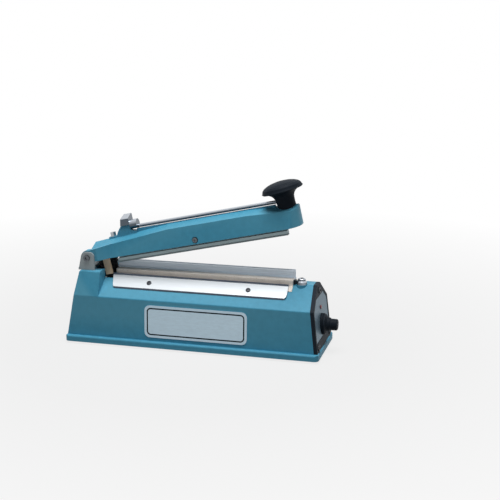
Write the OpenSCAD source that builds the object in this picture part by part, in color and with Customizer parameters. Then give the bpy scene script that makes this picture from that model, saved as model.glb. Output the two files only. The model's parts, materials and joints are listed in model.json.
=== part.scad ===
// Impulse heat sealer with a sliding cutter: a cast base, a hinged pressing arm, the two sealing
// jaws, and the switch, timer and transformer inside the base. Millimetres, +Z up, +X towards the
// timer knob; the operator is at -Y. The origin is the middle of the footprint, on the surface that
// the feet stand on. The arm is drawn standing open, as its return spring holds it.

/* [Base casting] */
// Width across the foot flange
base_width = 90; // [82:1:120]
// Wall of the base casting
base_wall = 3; // [2:0.5:4]
// Height of the foot flange
flange_height = 7; // [5:0.5:10]
// How far the flange stands out past the walls
flange_lip = 4.5; // [3:0.5:7]
// Height of the shoulder above the underside of the flange
shoulder_height = 53; // [46:1:56]
// How far each wall leans in between the flange and the shoulder
shoulder_inset = 2; // [0.5:0.5:5]
// Height of the ridge above the underside of the flange
ridge_height = 75; // [72:1:78]
// Width of the flat ridge
ridge_width = 16; // [14:1:22]
// Draft of the end panel, degrees
end_draft = 6.5; // [4:0.5:11]
// Height of the rubber feet below the flange
foot_stand = 2.5; // [1.5:0.5:6]
// Diameter of a rubber foot
foot_d = 14; // [10:1:18]
// Thickness of the bottom plate
bottom_plate_t = 1.5; // [1:0.5:3]

/* [Hinge tower] */
// Length of the tower from the end of the flange
tower_length = 39.5; // [36:0.5:46]
// Height of the tower above the underside of the flange
tower_height = 80; // [77:1:86]
// Width across the tower's top
tower_top_width = 61; // [58:1:68]
// Draft of the tower's end wall, degrees
tower_draft = 10; // [6:0.5:11]

/* [Hinge] */
// Distance of the hinge axis from the end of the flange
hinge_from_end = 22.8; // [21:0.2:25]
// Height of the hinge axis above the tower
hinge_rise = 14; // [12.5:0.5:18]
// How far the arm stands open, degrees
open_angle = 12.3; // [8:0.1:16]
// Diameter of the hinge pin
pin_d = 6; // [4:0.5:8]
// Radius of the arm's hinge lugs
lug_r = 8; // [7:0.5:11]
// Thickness of the steel hinge bracket
bracket_t = 2.5; // [1.5:0.5:3]

/* [Pressing arm] */
// Width across the arm's upper edges
arm_top_width = 30; // [28:1:34]
// Width across the arm's lower edges
arm_foot_width = 37; // [36:0.5:42]
// Wall of the arm casting
arm_wall = 3; // [2:0.5:3.5]
// Thickness of the arm's top web
arm_web = 3.5; // [2.5:0.5:5]
// Height of the arm's upper edges above the hinge axis, arm closed
arm_rise = 15; // [13:0.5:20]
// Height of the arm's ridge above its upper edges
arm_crown = 5; // [3:0.5:6]
// Height of the upper edges at the arm's hinge end, above the hinge axis
heel_rise = 7.5; // [7:0.5:10]
// Distance from the hinge axis to where the arm's top turns level
taper_reach = 98; // [70:1:130]
// How far the arm's nose reaches past the handle's axis
nose_reach = 13; // [12:0.5:18]
// Diameter of the handle's cap
handle_cap_d = 46; // [36:1:56]
// Diameter of the handle's stem
handle_stem_d = 21; // [16:0.5:21]
// How far the handle leans back towards the hinge, degrees
handle_lean = 4.5; // [0:0.5:8]
// Height of the handle above the arm's upper edges
handle_height = 29.5; // [26:0.5:36]

/* [Sealing jaws] */
// Length of the covered sealing jaw
seal_length = 206; // [150:1:300]
// Distance of the sealing jaw from the hinge end of the flange
seal_from_end = 51.5; // [51.4:0.1:60]
// Distance of the sealing jaw from the panel end of the flange
seal_to_panel = 35.5; // [33:0.5:50]
// Height of the jaw bar
jaw_bar_height = 4; // [3:0.5:5]
// Height of the rear rail above the jaw bar
rail_height = 8.5; // [6:0.5:9]
// Width of the rear rail
rail_width = 9.5; // [9:0.5:12]
// Width of the heating ribbon
element_width = 2; // [1:0.5:4]
// Thickness of the heating ribbon
element_t = 0.2; // [0.1:0.1:0.4]
// Thickness of the non-stick cover cloth
cloth_t = 0.3; // [0.2:0.1:0.5]
// Thickness of the clamp plate
clamp_t = 1.6; // [0.8:0.2:2]
// Width of the clamp plate on the slope
clamp_width = 17; // [14:0.5:20]
// Thickness of the silicone pressing pad
pad_t = 2; // [1.5:0.5:4]

/* [Cutter] */
// Diameter of the guide rod
rod_d = 4; // [3:0.5:5]
// Gap between the guide rod and the arm's ridge
rod_gap = 0.7; // [0.6:0.1:2]
// Distance of the cutting line behind the middle of the machine
knife_y = 4; // [3.8:0.1:5]
// Thickness of the blade
blade_t = 0.8; // [0.5:0.1:1]
// Parked place of the carriage, from the hinge axis along the arm
park_reach = 47; // [45:0.5:60]

/* [Timer panel] */
// Thickness of the end panel
panel_t = 4; // [2.5:0.5:6]
// Height of the timer knob's axis above the underside of the flange
knob_height = 29.5; // [24:0.5:32]
// Height of the lamp above the underside of the flange
lamp_height = 48.5; // [46:0.5:52]
// Diameter of the knob's skirt
knob_skirt_d = 22.5; // [20:0.5:26]
// Diameter of the knob's grip
knob_grip_d = 12.6; // [11:0.2:16]
// Length of the knob
knob_length = 15; // [13:0.5:24]

/* [Nameplate] */
// Length of the nameplate
nameplate_length = 118; // [60:1:140]
// Height of the nameplate
nameplate_height = 36.5; // [20:0.5:38]

/* [Return spring] */
// Mean radius of the return spring
spring_r = 6.7; // [5.5:0.1:7]
// Diameter of its wire
spring_wire = 1.6; // [1:0.1:2]
// Number of turns
spring_turns = 8; // [5:1:9]

/* [Cord entry] */
// Diameter of the hole through the gland
cord_hole_d = 7.2; // [5:0.2:9]

/* [Hidden] */
$fn = 48;

// Clearances: between a pin and the bore that it turns in, round a screw, and beside a fitted plate
running_gap = 0.06;
screw_gap = 0.1;
fit_gap = 0.3;
// Overshoot of a cutting tool past the face that it cuts
over = 1;
// Rounding of the casting's long edges, and of the flange's plan and lip
edge_round = 2;
flange_plan_round = 5;
flange_lip_round = 2.2;

// Colours of the pieces
teal = [0.20, 0.48, 0.58];
black = [0.10, 0.11, 0.12];
chrome = [0.82, 0.84, 0.86];
steel = [0.45, 0.49, 0.50];
aluminium = [0.78, 0.81, 0.84];
brass = [0.78, 0.62, 0.32];
beige = [0.76, 0.70, 0.62];
tan_board = [0.70, 0.57, 0.44];
board_green = [0.12, 0.36, 0.20];

// Lengths along X
base_length = seal_from_end + seal_length + seal_to_panel;
x_near = -base_length / 2;
x_far = base_length / 2;
pivot_x = x_near + hinge_from_end;
seal_x0 = x_near + seal_from_end;
seal_x1 = seal_x0 + seal_length;
seal_mid = (seal_x0 + seal_x1) / 2;
tower_x = x_near + tower_length;

// Heights
z_flange = foot_stand;
z_lip = z_flange + flange_height;
z_shoulder = z_flange + shoulder_height;
z_ridge = z_flange + ridge_height;
z_tower = z_flange + tower_height;
z_floor = z_flange + bottom_plate_t;
pivot_z = z_tower + hinge_rise;

// Half widths of the base, and the lean of its walls and slopes
ridge_half = ridge_width / 2;
wall_lean = shoulder_inset / (shoulder_height - flange_height);
wall_tilt = atan(wall_lean);
function wall_half(z) = base_width / 2 - flange_lip - (z - z_lip) * wall_lean;
shoulder_half = wall_half(z_shoulder);
slope = (z_ridge - z_shoulder) / (shoulder_half - ridge_half);
slope_angle = atan(slope);
function slope_z(y) = z_ridge - (abs(y) - ridge_half) * slope;
// Height of the inside of the slope shell
function slope_under(y) = slope_z(y) - base_wall / cos(slope_angle);

// End faces: the tower's outer face and the end panel's outer face
// The tower's walls are a little thicker than the rest
tower_wall = base_wall + 0.5;
near_setback = 0.6;
panel_setback = 0.8;
function near_x(z) = x_near + near_setback + (z - z_flange) * tan(tower_draft);
function far_x(z) = x_far - panel_setback - (z - z_flange) * tan(end_draft);

// Sealing stack on the ridge
bar_front = 10.5;
rail_front = 2;
rail_back = rail_width - rail_front;
strip_t = 0.4;
strip_width = 6;
seal_y = -(bar_front + rail_front) / 2 - 0.3;
z_bar = z_ridge + jaw_bar_height;
z_strip = z_bar + strip_t;
z_element = z_strip + element_t;
z_cloth = z_element + cloth_t;
z_rail = z_bar + rail_height;
// The bar stops short of the cloth at the hinge end, where the ribbon is anchored
anchor_length = 4;
anchor_gap = 0.3;
bar_x0 = seal_x0 + anchor_length + 2 * anchor_gap;
bar_x1 = seal_x1 - 0.5;
rail_overhang = 5;
rail_x0 = bar_x0 - rail_overhang;
rail_x1 = seal_x1 - 1;
bar_screw_reach = 84;
cloth_v = cloth_t / cos(slope_angle);
groove_half = blade_t / 2 + 0.5;
groove_depth = rail_height - 0.8;
lip_reach = 1.4;
lip_t = 1.2;

// Clamp plate on the slope
clamp_lip_y = -(bar_front + cloth_t + 1.3 + clamp_t);
cloth_tuck = 3.8;
cloth_hem_y = clamp_lip_y - cloth_tuck;
clamp_foot_y = clamp_lip_y - clamp_width * cos(slope_angle);
clamp_lip_height = 2.2;
clamp_round = 5.5;
clamp_x0 = seal_x0 + 2;
clamp_skew = 4.3;
clamp_x1 = seal_x1 - 4.3;
clamp_screw_spacing = 115;
clamp_screw_r = 1.6;
clamp_v = clamp_t / cos(slope_angle);

// Element terminal at the panel end
terminal_x = seal_x1 + 8.8;
terminal_block_length = 2.2;
terminal_boss_r = 6.4;
cup_r = 6;
cup_height = 4.2;
terminal_screw_r = 2.2;

// Hinge bracket, ears and lugs, measured from the hinge axis
lug_in = 17;
lug_out = arm_foot_width / 2 + 6.1;
ear_in = lug_out + 0.4;
ear_out = ear_in + bracket_t;
ear_back = 10.5;
ear_front = 9;
ear_top = 6.5;
plate_front = 3.8;
post_back = 2;
post_y = 11;
post_r = 4.5;
bracket_screw_r = 2;

// Pocket in the tower and ridge, with the spring boot and the switch under it
spring_reach = 15.4;
spring_x = pivot_x + spring_reach;
boot_r = 11;
boot_wall = 2.2;
boot_top_gap = 2.5;
pocket_x0 = spring_x - boot_r - 0.4;
pocket_x1 = spring_x + boot_r + 0.4;
pocket_half = 15.5;
shelf_t = 2;
shelf_z1 = slope_under(17.2) - 0.6;
shelf_z0 = shelf_z1 - shelf_t;
shelf_half = 17;
shelf_x0 = pivot_x - 6.5;
shelf_reach = 32.4;
shelf_x1 = pivot_x + shelf_reach;

// Arm, measured from the hinge axis with the arm closed
arm_bottom = z_rail + 0.5 - pivot_z;
arm_start = 2.5;
handle_back = 1;
handle_reach = seal_x1 - pivot_x - handle_back;
nose_x = handle_reach + nose_reach;
nose_round = 17;
ridge_round = 2;
arm_ridge = arm_rise + arm_crown;
arm_lean = (arm_foot_width - arm_top_width) / 2 / (arm_rise - arm_bottom);
droop_reach = handle_reach - 44;
droop_angle = 3;
function arm_top(reach) = reach >= taper_reach ? arm_rise
    : heel_rise + (arm_rise - heel_rise) * (reach - arm_start) / (taper_reach - arm_start);
function ridge_top(reach) = arm_top(reach) + arm_crown;
taper_angle = atan((arm_rise - heel_rise) / (taper_reach - arm_start));
jaw_back = 3;
pad_back = rail_front + lip_reach + 0.5;
jaw_front = bar_front + cloth_t;
jaw_stem = 6.4;
jaw_y = -(jaw_back + jaw_stem) / 2;
press_gap = 0.2;
pad_bottom = z_cloth + press_gap - pivot_z;
jaw_bottom = pad_bottom + pad_t;
jaw_flange_z = jaw_bottom + 3.1;
jaw_top = arm_bottom + 8;
jaw_x0 = seal_x0 + 1 - pivot_x;
jaw_x1 = seal_x1 - 3.8 - pivot_x;
jaw_boss_r = 3;
jaw_boss_reach = [60, 190];
jaw_bolt_reach = seal_mid - pivot_x - 4;
jaw_bolt_z = arm_bottom + 4.5;
jaw_bolt_r = 1.6;
jaw_bolt_head_r = 2.8;
jaw_bolt_bore_r = 3.7;
jaw_bolt_seat = arm_foot_width / 2 - (jaw_bolt_z - arm_bottom) * arm_lean - arm_wall / 2;

// Push plate that works the switch
push_x0 = 12;
push_x1 = 20.5;
push_t = 1.5;
push_y = -(boot_r + 0.8);
push_bottom = shelf_z1 + 5 - pivot_z;
push_top = arm_bottom + 9.5;

// Switch plunger under the push plate
plunger_r = 1.3;
plunger_x = pivot_x + (push_x0 + push_x1) / 2;
plunger_y = push_y - push_t / 2 - 0.3;
plunger_travel = 1.2;
z_plunger = pivot_z + push_bottom - press_gap + plunger_travel;
plunger_seat = 2.5;
switch_size = [22, 10, 15];
switch_hole_pitch = 16;

// Cutter, measured from the hinge axis with the arm closed
rod_r = rod_d / 2;
rod_z = arm_ridge + rod_gap + rod_r;
rod_x0 = park_reach - 7;
stem_r = handle_stem_d / 2;
rod_x1 = handle_reach - stem_r + 4;
rod_post_x0 = park_reach - 25.5;
rod_post_x1 = park_reach + 9.5;
rod_post_front = 3.5;
rib_half = 2.3;
rib_x0 = rod_post_x1 + 0.2;
rib_x1 = handle_reach - stem_r - 2;
rib_top = arm_ridge - 0.1;
rod_post_back = knife_y - blade_t / 2 - 0.5;
post_top = rod_z + rod_r + 0.8;
post_foot_x1 = park_reach - 16.5;
post_foot_z = ridge_top(post_foot_x1) + 0.8;
post_bolt_reach = park_reach - 21;
post_bolt_r = 1.5;
slot_half = blade_t / 2 + 1.1;
slot_x0 = park_reach - 11;
slot_x1 = handle_reach - 18;
bush_gap = 0.25;
bush_r = 5.4;
bush_length = 8.6;
bush_z = arm_ridge + bush_gap + bush_r;
carriage_x0 = park_reach - 8.5;
carriage_x1 = park_reach + 3.2;
carriage_back = 8.5;
carriage_z = post_top + 0.4;
blade_x0 = park_reach - 6;
blade_x1 = park_reach - 0.5;
blade_tip = arm_bottom - 4.5;

// Timer knob on the end panel
z_knob = z_flange + knob_height;
z_lamp = z_flange + lamp_height;
label_inset = 3.6;
label_drop = 13;
label_rise = 9.8;
label_depth = 0.9;
label_t = 0.5;
boss_r = knob_skirt_d / 2 + 0.6;
boss_x = far_x(z_knob - boss_r) + 0.3;
knob_x0 = boss_x + 0.4;
shaft_r = 3;
bushing_r = 4.2;
nut_t = 2.4;
nut_r = 6;
pot_r = 8.5;
pot_x1 = far_x(z_knob + pot_r) - panel_t - 0.3;
pot_length = 9;
skirt_t = 3.4;
collar_t = 7.2;
shaft_in_knob = 10;
lamp_r = 2.4;

// Transformer on the bottom plate
core_length = 72;
core_height = 58;
core_stack = 36;
limb = 24;
window_height = core_height - limb;
coil_overhang = 10;
strap_t = 1.5;
strap_width = 20;
strap_foot = 12;

// Timer board on the bottom plate
board_length = 58;
board_width = 46;
board_t = 1.6;
board_x0 = core_length / 2 + 24;
board_stand = 8;
z_board = z_floor + board_stand;
relay_place = [8, -16];
relay_size = [20, 16, 16];
// Capacitors on the board: place along and across it, radius and height
capacitors = [[36, -12, 5, 18], [48, -10, 4, 12], [14, 12, 4, 14], [28, 12, 5, 16]];
// Mains terminal strip along the rear wall: size, gap to the wall and pitch of its ways
strip_size = [26, 8.5, 11];
strip_gap = 1;
strip_pitch = 8;

// Gland for the mains lead in the rear wall
gland_from_end = 38;
gland_rise = 21;
gland_x = x_far - gland_from_end;
gland_z = z_flange + gland_rise;
gland_r = cord_hole_d / 2 + 3;

// Return spring, between the shelf and the arm's web
spring_z0 = shelf_z1 + spring_wire / 2;
spring_top = pivot_z + web_under_world(spring_reach - spring_r - spring_wire);
spring_z1 = spring_top - spring_wire / 2 - fit_gap;
curl_rings = 8;
tube_sides = 6;

// Height over the hinge axis of the web's underside at a reach, with the arm open
function web_under_world(reach) = reach * tan(open_angle + taper_angle)
    + (heel_rise - arm_web - arm_start * tan(taper_angle)) * cos(taper_angle)
    / cos(open_angle + taper_angle);

// Points and outlines
function unit(v) = v / norm(v);
function turned(v, a) = [v.x * cos(a) - v.y * sin(a), v.x * sin(a) + v.y * cos(a)];
function wrap(points, i) = points[(i + len(points)) % len(points)];

// A corner of an anticlockwise outline, moved in by d from both of its edges
function inset_corner(before, here, after, d) =
    let (u = unit(here - before), v = unit(after - here), m = [-u.y, u.x], n = [-v.y, v.x])
    here + (m + n) * d / (1 + m * n);
function inset(points, d) = [for (i = [0 : len(points) - 1])
    inset_corner(wrap(points, i - 1), points[i], wrap(points, i + 1), d)];

// A corner of an outline as an arc of radius r
function arc_corner(before, here, after, r, steps) =
    let (u = unit(here - before), v = unit(after - here), turn = atan2(cross(u, v), u * v),
        start = here - u * r * tan(abs(turn) / 2),
        centre = start + sign(turn) * r * [-u.y, u.x])
    r == 0 ? [here] : [for (k = [0 : steps]) centre + turned(start - centre, turn * k / steps)];
function rounded(points, radii, steps = 5) = [for (i = [0 : len(points) - 1])
    each arc_corner(wrap(points, i - 1), points[i], wrap(points, i + 1),
        is_list(radii) ? radii[i] : radii, steps)];
function rectangle(x0, y0, x1, y1) = [[x0, y0], [x1, y0], [x1, y1], [x0, y1]];

// Cross-sections in (Y, Z)
function body_section(z) = [[-wall_half(z), z], [wall_half(z), z], [shoulder_half, z_shoulder],
    [ridge_half, z_ridge], [-ridge_half, z_ridge], [-shoulder_half, z_shoulder]];
function tower_section(z) = [[-wall_half(z), z], [wall_half(z), z], [shoulder_half, z_shoulder],
    [tower_top_width / 2, z_tower], [-tower_top_width / 2, z_tower], [-shoulder_half, z_shoulder]];
body_radii = [0, 0, edge_round, edge_round, edge_round, edge_round];
tower_radii = [0, 0, 0, edge_round, edge_round, 0];

// Side outline (X, Z) between the tower's end face and a plane d inside the panel's face
function side_outline(z0, z1, d) = [[near_x(z0), z0], [far_x(z0) - d, z0], [far_x(z1) - d, z1],
    [near_x(z1), z1]];
// Slab (X, Z) of the end panel between depths d0 and d1 behind its face
function panel_slab(d0, d1) = let (z0 = z_flange - 20, z1 = z_ridge + 20)
    [[far_x(z0) - d1, z0], [far_x(z0) - d0, z0], [far_x(z1) - d0, z1], [far_x(z1) - d1, z1]];

// A (Y, Z) outline drawn out along X, and an (X, Z) outline drawn out along Y
module along_x(x0, x1) {
    translate([x0, 0, 0]) rotate([90, 0, 90]) linear_extrude(x1 - x0) children();
}
module along_y(y0, y1) {
    translate([0, y1, 0]) rotate([90, 0, 0]) linear_extrude(y1 - y0) children();
}
module block(low, high) {
    translate(low) cube(high - low);
}
// A cylinder of radius r between two places on one axis
module rod_x(x0, x1, y, z, r, sides = $fn) {
    translate([x0, y, z]) rotate([0, 90, 0]) cylinder(h = x1 - x0, r = r, $fn = sides);
}
module rod_y(y0, y1, x, z, r, sides = $fn) {
    translate([x, y0, z]) rotate([-90, 0, 0]) cylinder(h = y1 - y0, r = r, $fn = sides);
}
module rod_z(z0, z1, x, y, r, sides = $fn) {
    translate([x, y, z0]) cylinder(h = z1 - z0, r = r, $fn = sides);
}
// A screw standing on z = 0 with a cross recess in its head and its shank below
module screw(shank_r, shank, head_r, head) {
    recess = head_r * 0.22;
    difference() {
        union() {
            translate([0, 0, -shank]) cylinder(h = shank + head / 2, r = shank_r, $fn = 24);
            rotate_extrude($fn = 32) polygon(rounded(rectangle(0, 0, head_r, head),
                [0, 0, head * 0.6, 0]));
        }
        for (a = [0, 90]) rotate([0, 0, a])
            block([-head_r * 0.62, -recess, head * 0.45], [head_r * 0.62, recess, head + over]);
    }
}
// Local frames: +Z out of the front slope, out of the front wall, and out of the end panel
module on_slope(x, y) {
    translate([x, y, slope_z(y)]) rotate([slope_angle, 0, 0]) children();
}
module on_front_wall(x, z) {
    translate([x, -wall_half(z), z]) rotate([90 - wall_tilt, 0, 0]) children();
}
module on_rear_wall(x, z) {
    mirror([0, 1, 0]) on_front_wall(x, z) children();
}
module on_panel(y, z) {
    translate([far_x(z), y, z]) rotate([0, 90 - end_draft, 0]) children();
}
// The arm's own frame: the hinge axis is Y, and X runs along the closed arm
module in_arm() {
    translate([pivot_x, 0, pivot_z]) rotate([0, -open_angle, 0]) children();
}

// Places of repeated fasteners
bottom_screw_x = x_far - 16;
bottom_screw_y = wall_half(z_floor) - base_wall - 4;
bottom_boss_r = 5;
bottom_screw_r = 1.8;
bottom_places = [for (sx = [-1, 1], sy = [-1, 1]) [sx * bottom_screw_x, sy * bottom_screw_y]];
foot_from_end = 32;
foot_from_side = 20;
foot_places = [for (sx = [-1, 1], sy = [-1, 1])
    [sx * (x_far - foot_from_end), sy * (base_width / 2 - foot_from_side)]];
panel_screw_r = 1.7;
panel_boss_r = 4;
panel_screw_reach = 5;
panel_low_z = z_lip + 5;
panel_top_z = z_ridge - base_wall - 4.5;
panel_screw_in = 8.8;
panel_places = [[0, panel_top_z], [panel_screw_in - wall_half(panel_low_z), panel_low_z],
    [wall_half(panel_low_z) - panel_screw_in, panel_low_z]];
post_places = [for (s = [-1, 1]) [pivot_x - post_back, s * post_y]];
bar_screw_places = [for (s = [-1, 0, 1]) seal_mid + s * bar_screw_reach];
bar_screw_r = 1.8;
clamp_places = [for (s = [-1, 1]) seal_mid - 2.5 + s * clamp_screw_spacing / 2];
clamp_screw_y = (clamp_lip_y + clamp_foot_y) / 2 + 0.6;
board_places = [for (sx = [0, 1], sy = [-1, 1])
    [board_x0 + 4 + sx * (board_length - 8), sy * (board_width / 2 - 4)]];
strap_places = [for (s = [-1, 1]) [s * (core_length / 2 + strap_t + strap_foot / 2), 0]];
push_screw_places = [for (s = [-1, 1]) [(push_x0 + push_x1) / 2 + s * 2.2, arm_bottom + 6]];
plate_recess = 3.2;

// Base casting
module base_flange() {
    half = base_width / 2;
    intersection() {
        along_x(x_near, x_far) polygon(rounded(rectangle(-half, z_flange, half, z_lip),
            [0, 0, flange_lip_round, flange_lip_round]));
        along_y(-half, half) polygon(rounded(rectangle(x_near, z_flange, x_far, z_lip),
            [0, 0, flange_lip_round, flange_lip_round]));
        translate([0, 0, z_flange]) linear_extrude(flange_height)
            polygon(rounded(rectangle(x_near, -half, x_far, half), flange_plan_round));
    }
}
module base_outer() {
    base_flange();
    intersection() {
        along_x(x_near, x_far) polygon(rounded(body_section(z_flange), body_radii));
        along_y(-base_width, base_width) polygon(side_outline(z_flange, z_tower, panel_t));
    }
    intersection() {
        along_x(x_near, tower_x) polygon(rounded(tower_section(z_flange), tower_radii));
        along_y(-base_width, base_width) polygon(
            rounded(side_outline(z_flange, z_tower, panel_t), [0, 0, 0, edge_round]));
    }
    rod_z(z_shoulder, z_ridge, terminal_x, seal_y, terminal_boss_r);
}
module base_inner() {
    intersection() {
        along_x(x_near, x_far) polygon(inset(body_section(z_flange - base_wall), base_wall));
        along_y(-base_width, base_width) polygon([
            [near_x(z_flange - over) + base_wall, z_flange - over], [x_far, z_flange - over],
            [x_far, z_tower], [near_x(z_tower) + base_wall, z_tower]]);
        // The cavity stops inside the flange, which runs on under the end panel
        union() {
            block([x_near, -base_width, z_flange - over], [far_x(z_lip) - panel_t, base_width, z_ridge]);
            block([x_near, -base_width, z_lip], [x_far, base_width, z_ridge]);
        }
    }
    intersection() {
        along_x(x_near, tower_x - tower_wall)
            polygon(inset(tower_section(z_lip), tower_wall));
        along_y(-base_width, base_width) polygon([
            [near_x(z_lip) + tower_wall, z_lip], [tower_x, z_lip],
            [tower_x, z_tower], [near_x(z_tower) + tower_wall, z_tower]]);
    }
}
module base_bosses() {
    for (p = bottom_places) rod_z(z_floor, z_floor + 16, p.x, p.y, bottom_boss_r);
    for (p = post_places) rod_z(shelf_z1, z_tower - over, p.x, p.y, post_r);
    intersection() {
        union() {
            for (p = panel_places) rod_x(far_x(p.y) - panel_t - 14, x_far, p.x, p.y, panel_boss_r);
            // Web between the top boss and the ridge
            block([far_x(panel_top_z) - panel_t - 14, -3, panel_top_z], [x_far, 3, z_ridge - over]);
        }
        along_y(-base_width, base_width) polygon(side_outline(z_flange, z_ridge, panel_t));
        along_x(x_near, x_far) polygon(body_section(z_flange));
    }
}
module base_holes() {
    half = base_width / 2 - plate_recess;
    block([x_near + plate_recess, -half, z_flange - over], [x_far - plate_recess, half, z_floor]);
    for (p = bottom_places)
        rod_z(z_floor - over, z_floor + 9, p.x, p.y, bottom_screw_r + screw_gap, 24);
    for (p = panel_places) on_panel(p.x, p.y)
        translate([0, 0, -panel_t - panel_screw_reach - 1])
            cylinder(h = panel_screw_reach + 1 + over, r = panel_screw_r + screw_gap, $fn = 24);
    for (p = post_places)
        rod_z(shelf_z1 - over, z_tower + over, p.x, p.y, bracket_screw_r + screw_gap, 24);
    block([pocket_x0, -pocket_half, slope_under(pocket_half) - over],
        [pocket_x1, pocket_half, z_tower + over]);
    for (x = bar_screw_places)
        rod_z(z_ridge - 3 * base_wall, z_ridge + over, x, 0, bar_screw_r + screw_gap, 24);
    for (x = clamp_places) on_slope(x, clamp_screw_y) translate([0, 0, -2 * base_wall])
        cylinder(h = 3 * base_wall, r = clamp_screw_r + screw_gap, $fn = 24);
    rod_z(z_ridge - 3 * base_wall, z_ridge + over, terminal_x, seal_y, terminal_screw_r + 0.8, 24);
    on_rear_wall(gland_x, gland_z) translate([0, 0, -2 * base_wall])
        cylinder(h = 4 * base_wall, r = gland_r + fit_gap);
}
module base_housing() {
    color(teal) difference() {
        union() {
            difference() {
                base_outer();
                base_inner();
            }
            base_bosses();
        }
        base_holes();
    }
}

// Underside
module bottom_plate() {
    half = base_width / 2 - plate_recess - fit_gap;
    x1 = x_far - plate_recess - fit_gap;
    color(steel) difference() {
        block([-x1, -half, z_flange], [x1, half, z_floor]);
        for (p = concat(bottom_places, board_places, strap_places))
            rod_z(z_flange - over, z_floor + over, p.x, p.y, bottom_screw_r + screw_gap, 24);
    }
}
module bottom_plate_screws() {
    head = foot_stand * 0.6;
    color(steel) for (p = bottom_places) translate([p.x, p.y, z_flange]) mirror([0, 0, 1])
        screw(bottom_screw_r, 9, bottom_screw_r * 2, head);
}
module rubber_feet() {
    color(black) for (p = foot_places) translate([p.x, p.y, 0])
        cylinder(h = foot_stand, r1 = foot_d / 2 - 0.8, r2 = foot_d / 2);
}

// End panel with its label, lamp and screws
module panel_outline() {
    polygon(rounded(body_section(z_lip), body_radii));
}
// The label stops below the panel's top screw and above its two lower screws
function label_points(d) = let (p = inset(body_section(z_lip), label_inset + d),
        top = z_ridge - label_drop - d, half = p[2].x - (top - p[2].y) / slope,
        low = z_lip + label_rise + d, low_half = p[2].x + (p[2].y - low) * wall_lean)
    [[-low_half, low], [low_half, low], p[2], [half, top], [-half, top], p[5]];
module label_outline(d) {
    polygon(rounded(label_points(d), 1.5));
}
module knob_boss(r, x1) {
    rod_x(far_x(z_knob) - panel_t, x1, 0, z_knob, r);
}
module end_panel() {
    color(black) difference() {
        union() {
            intersection() {
                along_x(0, x_far + over) panel_outline();
                along_y(-base_width, base_width) polygon(panel_slab(0, panel_t));
            }
            intersection() {
                knob_boss(boss_r, boss_x);
                along_y(-base_width, base_width) polygon(panel_slab(-20, panel_t - over));
            }
        }
        difference() {
            intersection() {
                along_x(0, x_far + over) label_outline(0);
                along_y(-base_width, base_width) polygon(panel_slab(-over, label_depth));
            }
            knob_boss(boss_r, boss_x);
        }
        rod_x(0, x_far + over, 0, z_knob, bushing_r + screw_gap);
        rod_x(0, x_far + over, 0, z_lamp, lamp_r + screw_gap);
        for (p = panel_places) on_panel(p.x, p.y) translate([0, 0, -panel_t - over])
            cylinder(h = panel_t + 2 * over, r = panel_screw_r + screw_gap, $fn = 24);
    }
}
module end_label() {
    color(aluminium) difference() {
        intersection() {
            along_x(0, x_far + over) label_outline(0.2);
            along_y(-base_width, base_width) polygon(panel_slab(label_depth - label_t, label_depth));
        }
        knob_boss(boss_r + 0.2, x_far + over);
        rod_x(0, x_far + over, 0, z_lamp, lamp_r + screw_gap);
    }
}
module end_panel_screws() {
    color(steel) for (p = panel_places) on_panel(p.x, p.y)
        screw(panel_screw_r, panel_t + panel_screw_reach, panel_screw_r * 2, 1.6);
}
module lamp_holder() {
    color(black) rod_x(far_x(z_lamp) - panel_t - 10, far_x(z_lamp) - 0.4, 0, z_lamp, lamp_r);
}
module indicator_lens() {
    color([0.75, 0.10, 0.12]) translate([far_x(z_lamp) - 0.4, 0, z_lamp]) rotate([0, 90, 0])
        rotate_extrude() polygon(rounded(rectangle(0, 0, lamp_r, 1.4), [0, 0, 1, 0]));
}
module nameplate() {
    mid_z = z_lip + (shoulder_height - flange_height) / 2 - 0.8;
    half = [nameplate_length, nameplate_height] / 2;
    color(aluminium) on_front_wall(seal_mid - 0.5, mid_z) linear_extrude(0.6)
        polygon(rounded(rectangle(-half.x, -half.y, half.x, half.y), 6));
}

// Lower sealing jaw
module lower_jaw_bar() {
    color(aluminium) difference() {
        block([bar_x0, -bar_front, z_ridge], [bar_x1, rail_back, z_bar]);
        for (x = bar_screw_places)
            rod_z(z_ridge - over, z_bar + over, x, 0, bar_screw_r + screw_gap, 24);
    }
}
module jaw_bar_screws() {
    color(steel) for (x = bar_screw_places) translate([x, 0, z_ridge - base_wall]) mirror([0, 0, 1])
        screw(bar_screw_r, base_wall + jaw_bar_height + 2, bar_screw_r * 2, 2.4);
}
module insulating_strip() {
    color(beige) block([bar_x0, seal_y - strip_width / 2, z_bar],
        [bar_x1, seal_y + strip_width / 2, z_strip]);
}
module heating_element() {
    x0 = seal_x0 + anchor_gap;
    // The ribbon ends beside the screw, under its head
    x1 = terminal_x - terminal_screw_r - fit_gap;
    drop_x = seal_x1 + terminal_block_length + 0.6;
    cup_z = z_ridge + cup_height;
    color(chrome) along_y(seal_y - element_width / 2, seal_y + element_width / 2) polygon([
        [x0, z_strip], [drop_x, z_strip], [drop_x + 1.5, cup_z], [x1, cup_z],
        [x1, cup_z + element_t], [drop_x + 1.5 + element_t, cup_z + element_t],
        [drop_x + element_t, z_element], [x0, z_element]]);
}
module ptfe_cover() {
    front = -bar_front - cloth_t;
    edge = -rail_front - 0.15;
    color(beige) along_x(seal_x0, seal_x1) polygon([
        [edge, z_cloth], [front, z_cloth], [front, slope_z(front) + cloth_v],
        [cloth_hem_y, slope_z(cloth_hem_y) + cloth_v], [cloth_hem_y, slope_z(cloth_hem_y)],
        [-bar_front, slope_z(-bar_front)], [-bar_front, z_element], [edge, z_element]]);
}
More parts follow.
